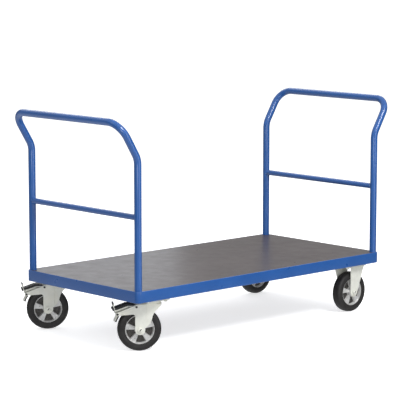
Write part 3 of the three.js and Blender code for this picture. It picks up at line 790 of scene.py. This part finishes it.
def axle_mesh():
    """The axle bolt: a chamfered, slotted head on one side, a threaded tip on the other."""
    head = hex_head(NUT_ACROSS, 1.8, 8.0)
    slot = prism([(-6.0, -1.9), (6.0, -1.9), (6.0, 1.9), (-6.0, 1.9)], 4.6, 8.6)
    slot.transform(Matrix.Rotation(math.radians(50), 4, "Z"))
    head = combine(head, slot, "DIFFERENCE")
    # The slot's walls and floor get the second material: painted shade in the slot.
    second_material(head, lambda spot: 4.0 < spot.z < 7.2 and math.hypot(spot.x, spot.y) < 6.6)
    ring = lathe(washer(6.0, 12.4, 0.0, 1.8), 48)
    for part in (head, ring):
        part.transform(ON_SIDE @ Matrix.Translation((0, 0, AXLE_FACE)))
        part.transform(Matrix.Scale(-1, 4, (0, 1, 0)))
    shank = [(0, -AXLE_FACE), (AXLE_RADIUS, -AXLE_FACE), (AXLE_RADIUS, AXLE_FACE + 9.6)]
    for k in range(4):
        shank += [(5.4, AXLE_FACE + 10.0 + k), (AXLE_RADIUS, AXLE_FACE + 10.5 + k)]
    shank += [(5.0, AXLE_FACE + 13.9), (0, AXLE_FACE + 13.9)]
    return joined(head, ring, lathe_on_y(shank, 32))


def nut_mesh():
    """A locking nut on its washer."""
    nut = hex_head(NUT_ACROSS, 1.8, 8.2)
    collar = lathe([(6.2, 8.0), (8.4, 8.0), (8.2, 9.4), (7.4, 10.0), (6.2, 10.0)], 40)
    bore = lathe([(0, 0), (6.1, 0), (6.1, 9.5), (0, 9.5)], 32)
    nut = combine(nut, bore, "DIFFERENCE")
    ring = lathe(washer(6.2, 12.4, 0.0, 1.8), 48)
    whole = joined(nut, collar, ring)
    whole.transform(ON_SIDE @ Matrix.Translation((0, 0, AXLE_FACE)))
    return whole


AXLE, NUT = kept(axle_mesh(), "axle"), kept(nut_mesh(), "nut")


def wheel(name, place, wheel_body, castor_body):
    """A wheel on its axle. place takes the axle's own frame to the cart's."""
    piece("tyre_tread_" + name, lathe_on_y(tyre_profile(), 144), RUBBER, wheel_body, place,
          stands_for=["tyre_" + name], angle=50.0)
    centre = piece("wheel_centre_" + name, copy_of(RIM), ALUMINIUM, wheel_body, place,
                   width=0.7, stands_for=["rim_" + name], angle=32.0)
    # The wheel centre's second material is the painted shade on its pocket floors.
    centre.data.materials.append(POCKET_SHADE)
    piece("wheel_bearing_" + name, bearing_mesh(), DARK_STEEL_AND_HOLE_SHADE, wheel_body, place,
          stands_for=["hub_bearing_" + name])
    axle = piece("axle_" + name, copy_of(AXLE), ZINC, castor_body, place,
                 stands_for=["axle_bolt_" + name])
    # The axle's second material is the painted shade in its head's slot.
    axle.data.materials.append(DARK_STEEL_AND_HOLE_SHADE)
    piece("lock_nut_" + name, copy_of(NUT), ZINC, castor_body, place,
          stands_for=["axle_nut_" + name])


# ------------------------------------------------------------------ swivel castors
def run(back, lift):
    """A point on the pedal, measured back along its slope and up from it."""
    c, s = math.cos(PEDAL_SLOPE), math.sin(PEDAL_SLOPE)
    return PAD_FRONT[0] - back * c - lift * s, PAD_FRONT[1] - back * s + lift * c


def fork_plan(cheek, radius):
    """One face of the fork's sheet seen from above: along a cheek, round the nose and back."""
    close = math.degrees(math.asin((cheek - 5.5) / radius))
    nose = arc(TRAIL, 0, radius, -close, close, 32)
    right = [(-115, -cheek), (24, -cheek), (31, 0.6 - cheek)]
    return [*right, *nose, (31, cheek - 0.6), (24, cheek), (-115, cheek)]


def fork_mesh():
    """The fork, pressed from sheet: two cheeks joined in front of the wheel, under a flat crown."""
    front = TRAIL + CROWN_RADIUS + 1
    side = arc(0, WHEEL_RADIUS, LOBE, 180, 380, 36)
    side += [(36, 118), (46, 130), (53, 145), (57, 162), (63, 174), (71, 184), (front, CROWN_TOP - 1)]
    side += [(front, CROWN_TOP + 1), (-14, CROWN_TOP + 1), (-19, CROWN_TOP - 2.2), (-25, 211.6)]
    side += arc(*SHOE_PIVOT, 7.0, 108, 285, 16)
    side += [(-34, 172)] + arc(-34, 161, 11, 90, 0, 10)

    plan = fork_plan(LEG_OUTER, CROWN_RADIUS) + fork_plan(LEG_INNER, CROWN_RADIUS - LEG_SHEET)[::-1]
    wall = combine(prism(plan, 70, CROWN_TOP), side_prism(side, -60, 60), "INTERSECT")
    outer = LEG_OUTER - 1
    close = math.degrees(math.asin(outer / (CROWN_RADIUS - 1)))
    crown = [(-20, -outer), *arc(TRAIL, 0, CROWN_RADIUS - 1, -close, close, 32), (-20, outer)]
    body = combine(wall, prism(crown, CROWN_TOP - CROWN_SHEET, CROWN_TOP - 0.02), "UNION")
    for turn in (1, -1):
        crease = prism([(27.3, -36 * turn), (31.7, -36 * turn), (29.5, -33.0 * turn)], 124, 209)
        body = combine(body, crease, "DIFFERENCE")
    rib = [(-36, 184.0), (-88, 177.5), (-91, 180.5), (-60, 190.0), (-36, 196.0)]
    for low in (-LEG_OUTER - 0.8, LEG_OUTER - 1.0):
        body = combine(body, side_prism(rib, low, low + 1.8), "UNION")
        boss = lathe_on_y([(0, low), (10.5, low), (10.5, low + 1.8), (0, low + 1.8)], 40)
        boss.transform(Matrix.Translation((0, 0, WHEEL_RADIUS)))
        body = combine(body, boss, "UNION")
    return body


def pedal_lever_mesh():
    """The lever's strip with its side flanges, its upturned end and the barrel round its pin."""
    x, z = PEDAL_PIVOT
    strip = [
        (x - 1, z + 4.8), (x - 4, z - 2), run(0, -3.0), run(59.5, -3.0), run(61.2, -2.5), run(62, -1.0),
        run(62, 14.0), run(60.6, 22.0), run(57.6, 33.6), run(56.6, 34.0), run(54.6, 33.2), run(57.6, 21.5),
        run(59, 13.5), run(59, 0.8), run(58, 0.0), run(0, 0.0),
    ]
    half = LEVER_HALF
    body = side_prism(strip, -half, half)
    barrel = lathe_on_y([(3.2, -half), (5.6, -half), (5.6, half), (3.2, half)], 32)
    barrel.transform(Matrix.Translation((x, 0, z)))
    flange = [run(2, -2.9), run(58, -2.9), run(58, -5.0), run(30, -6.2), run(2, -9.0)]
    return joined(body, barrel, side_prism(flange, -half, 2.4 - half), side_prism(flange, half - 2.4, half))


def pedal_bumper_mesh():
    """The rubber block on the outer face of the lever's upturned end."""
    outline = [run(62.2, 0.8), run(62.2, 12.6), run(68.4, 13.4)]
    outline += [run(70.0, 11.6), run(70.0, 2.4), run(68.6, 0.8)]
    return side_prism(outline, -25.5, 25.5)


def pedal_pad_mesh():
    """The ribbed tread on the lever."""
    top, ribs = [], 7
    pitch = PAD_LENGTH / ribs
    for i in range(ribs):
        start = PAD_LENGTH - i * pitch
        top += [run(start - 0.8, 9.2), run(start - 1.4, 10.7), run(start - 2.2, PAD_THICKNESS)]
        top += [run(start - 5.0, PAD_THICKNESS), run(start - 5.8, 10.7), run(start - 6.4, 9.2)]
        top += [run(start - 7.0, 8.4), run(start - 7.8, 8.4)]
    top = [*top[:-2], run(0.6, 8.4)]
    outline = [run(PAD_LENGTH, 0.3), run(PAD_LENGTH, 8.6), *top, run(0, 7.6), run(0, 0.3)]
    return side_prism(outline, -PAD_HALF, PAD_HALF)


def pedal_cover_mesh():
    """A black piece over the lever between its tread and its pivot: partly a moulding, and partly painted
    shade for the dark under the frame.
    """
    outline = [run(-0.4, 0.5), run(-0.4, 8.6), (-50, 219.6), (-32, 217.4), (-24, 213.8), (-22.5, 211.0)]
    return side_prism(outline, -PAD_HALF, PAD_HALF)


def pedal_tip_mesh():
    """The black grip on the lever's upturned end."""
    outline = [run(61.0, 24.5), run(58.2, 34.9), run(57.2, 35.2)]
    outline += [run(53.9, 34.2), run(53.4, 33.4), run(56.0, 23.6)]
    return side_prism(outline, -26.9, 26.9)


def shoe_mesh():
    """The shoe's curved plate, with a strap up to the eye round its pin."""
    x, z = SHOE_PIVOT
    curve = arc(0, WHEEL_RADIUS, 121.5, 146, 161.5, 16) + arc(0, WHEEL_RADIUS, 119.3, 161.5, 146, 16)
    strap = [(x - 4, z - 2), (x - 2, z - 12), (x + 6, z - 9), (x + 4, z + 1)]
    half = SHOE_HALF
    body = combine(side_prism(curve, -half, half), side_prism(strap, 0.1 - half, half - 0.1), "UNION")
    eye = lathe_on_y([(3.3, -half), (5.4, -half), (5.4, half), (3.3, half)], 32)
    eye.transform(Matrix.Translation((x, 0, z)))
    return joined(body, eye)


def shoe_lining_mesh():
    """The dark block under the shoe's plate that bites on the tyre."""
    curve = arc(0, WHEEL_RADIUS, 119.2, 146.6, 161.3, 16) + arc(0, WHEEL_RADIUS, 112.4, 161.3, 146.6, 16)
    return side_prism(curve, 0.5 - SHOE_HALF, SHOE_HALF - 0.5)


def pin_mesh():
    """A pin through both cheeks, with a head on one side."""
    reach, seat = LEG_OUTER + 3, LEG_OUTER + 0.3
    profile = [(0, -reach), (4.4, -reach), (5.0, 0.6 - reach), (5.0, -seat), (3.0, -seat)]
    profile += [(3.0, reach - 0.5), (2.5, reach), (0, reach)]
    return lathe_on_y(profile, 32)


def race_profile():
    """The swivel head between the crown and the plate: two rings with a seam between them."""
    low, high = CROWN_TOP + 0.3, PLATE_BOTTOM - 0.3
    return [
        (12.0, low), (39.0, low), (41.5, low + 0.5), (42.5, low + 2.0), (42.5, low + 4.4),
        (43.4, low + 5.0), (44.6, low + 5.2), (45.0, low + 6.0), (45.0, high - 2.6),
        (44.4, high - 1.0), (43.0, high), (12.0, high),
    ]


FORK, LEVER = kept(fork_mesh(), "fork"), kept(pedal_lever_mesh(), "lever")
SHOE = kept(shoe_mesh(), "shoe")


def swivel_castor(side, sy):
    """A braked castor under the cart's swivel end. sy is the side of the cart it stands on."""
    name = "swivel_" + side
    head = LOWERED @ Matrix.Translation((SWIVEL_X, sy * SWIVEL_Y, 0))
    place = head @ Matrix.Rotation(HEADING, 4, "Z") @ Matrix.Translation((-TRAIL, 0, 0))
    castor, pedal, shoe = "castor_" + side, "brake_pedal_" + side, "brake_shoe_" + side
    piece("fork_pressing_" + name, copy_of(FORK), ZINC, castor, place, width=0.7,
          stands_for=["fork_" + name], angle=32.0)
    race = lathe(race_profile(), 96)
    piece("swivel_head_" + name, race, ZINC, "frame", head, stands_for=["ball_race_" + name])
    piece("pedal_strip_" + name, copy_of(LEVER), ZINC, pedal, place, width=0.4,
          stands_for=["pedal_lever_" + name])
    piece("pedal_tread_" + name, pedal_pad_mesh(), PLASTIC, pedal, place, width=0.5,
          stands_for=["pedal_pad_" + name], angle=50.0)
    # The black cover is partly painted shade under the frame.
    piece("pedal_cover_" + name, pedal_cover_mesh(), PLASTIC, pedal, place, width=0.8)
    piece("pedal_grip_" + name, pedal_tip_mesh(), PLASTIC, pedal, place, width=0.5)
    piece("pedal_bumper_" + name, pedal_bumper_mesh(), PLASTIC, pedal, place, width=0.8)
    piece("shoe_lining_" + name, shoe_lining_mesh(), DARK_STEEL_AND_HOLE_SHADE, shoe, place, width=0.5)
    piece("shoe_plate_" + name, copy_of(SHOE), ZINC, shoe, place, width=0.6,
          stands_for=["brake_shoe_" + name])
    # The pins are dark steel; their dark heads are partly painted shade for the pin holes.
    for pin, pivot in (("pedal_pin_", PEDAL_PIVOT), ("shoe_pin_", SHOE_PIVOT)):
        at_pin = place @ Matrix.Translation((pivot[0], 0, pivot[1]))
        piece("headed_" + pin + name, pin_mesh(), DARK_STEEL_AND_HOLE_SHADE, castor, at_pin, stands_for=[pin + name])
    at_axle = place @ Matrix.Translation((0, 0, WHEEL_RADIUS))
    wheel(name, at_axle, "wheel_" + name, castor)
    dress(NODES["top_plate_" + name], ZINC)
    dress(NODES["king_bolt_" + name], ZINC)
    plate_bolts(name, "frame", SWIVEL_X, sy * SWIVEL_Y)


# ------------------------------------------------------------------ fixed castors
def slot_outline(x, y):
    """A bolt slot in a castor's plate."""
    return arc(x + 5.0, y, 5.5, -90, 90, 10) + arc(x - 5.0, y, 5.5, 90, 270, 10)


def bracket_mesh():
    """A plate with two pressed legs, each with a shallow swage up its middle."""
    x, y, corner = 60.0, 45.0, 10.0
    plate = [*arc(x, y, corner, 0, 90, 8), *arc(-x, y, corner, 90, 180, 8)]
    plate += [*arc(-x, -y, corner, 180, 270, 8), *arc(x, -y, corner, 270, 360, 8)]
    body = prism(plate, PLATE_BOTTOM, PLATE_TOP, [slot_outline(*spot) for spot in PLATE_SLOTS])
    for flip in (1, -1):
        leg = arc(0, WHEEL_RADIUS, LOBE, 180, 350, 32)
        leg += [(46, 158), (64, 208), (68, 219), (69, PLATE_BOTTOM + 1), (-LOBE, PLATE_BOTTOM + 1)]
        swage = [(-13, 124), (-8, 119), (2, 119), (8, 124), (20, 200), (24, 221), (-13, 221)]
        low = -LEG_OUTER if flip > 0 else LEG_INNER
        proud = (low - 0.9, low + 1.0) if flip > 0 else (low + 3.0, low + 4.9)
        solid = side_prism([(flip * px, pz) for px, pz in leg], low, low + LEG_SHEET)
        solid = combine(solid, side_prism([(flip * px, pz) for px, pz in swage], *proud), "UNION")
        body = combine(body, solid, "UNION")
    return body


BRACKET = kept(bracket_mesh(), "bracket")


def fixed_castor(side, sy):
    """A castor that can't swivel, under the cart's fixed end."""
    name = "fixed_" + side
    place = LOWERED @ Matrix.Translation((FIXED_X, sy * FIXED_Y, 0))
    piece("leg_bracket_" + name, copy_of(BRACKET), ZINC, "frame", place, width=0.7,
          stands_for=["bracket_" + name], angle=32.0)
    at_axle = place @ Matrix.Translation((0, 0, WHEEL_RADIUS))
    wheel(name, at_axle, "wheel_" + name, "frame")
    plate_bolts(name, "frame", FIXED_X, sy * FIXED_Y)


for side, sy in (("right", -1), ("left", 1)):
    swivel_castor(side, sy)
    fixed_castor(side, sy)
